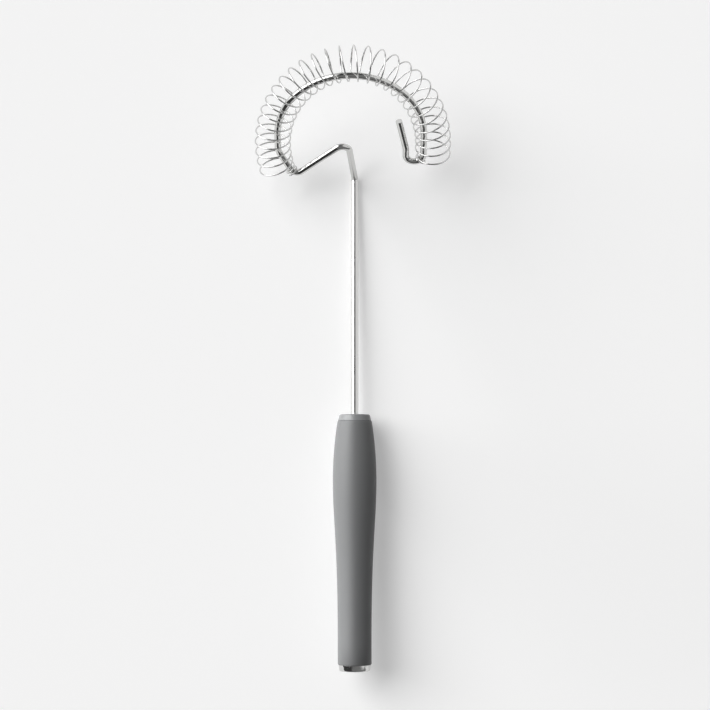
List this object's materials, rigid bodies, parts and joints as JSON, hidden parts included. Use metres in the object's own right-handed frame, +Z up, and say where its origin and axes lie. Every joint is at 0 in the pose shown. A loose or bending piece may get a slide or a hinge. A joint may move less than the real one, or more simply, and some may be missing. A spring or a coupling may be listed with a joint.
{
  "type": "sauce whisk",
  "caption": "Flat sauce whisk: a spring coil strung loosely on a tilted hoop of bent wire, on a thin stem with a soft tapered handle.",
  "frame": {"origin": "bottom centre of the bounding box of the whisk as it lies, on the surface under it", "axes": "+Y along the whisk from its end cap towards its head, +Z up, +X to the right seen from above"},
  "size_m": [0.087, 0.2732, 0.058],
  "materials": {
    "spring_wire": "drawn stainless spring wire, bright",
    "polished_wire": "polished stainless wire",
    "satin_tube": "satin stainless tube, drawn along its length",
    "core_plastic": "hard grey plastic, slightly glossy",
    "grip_rubber": "soft-touch grey elastomer, matt",
    "polished_cap": "polished stainless cap"
  },
  "bodies": {
    "whisk": {"head_frame": "polished_wire", "stem_tube": "satin_tube", "stem_pin": "satin_tube", "handle_core": "core_plastic", "grip_sleeve": "grip_rubber", "end_cap": "polished_cap"},
    "coil": {"whisk_coil": "spring_wire"}
  },
  "joints": [
    {"name": "coil_rock", "type": "hinge", "parent": "whisk", "child": "coil", "pos_m": [-0.02769, 0.08667, 0.01282], "axis": [0.9944, 0.0756, 0.0741], "range_deg": [0, 6]}
  ]
}
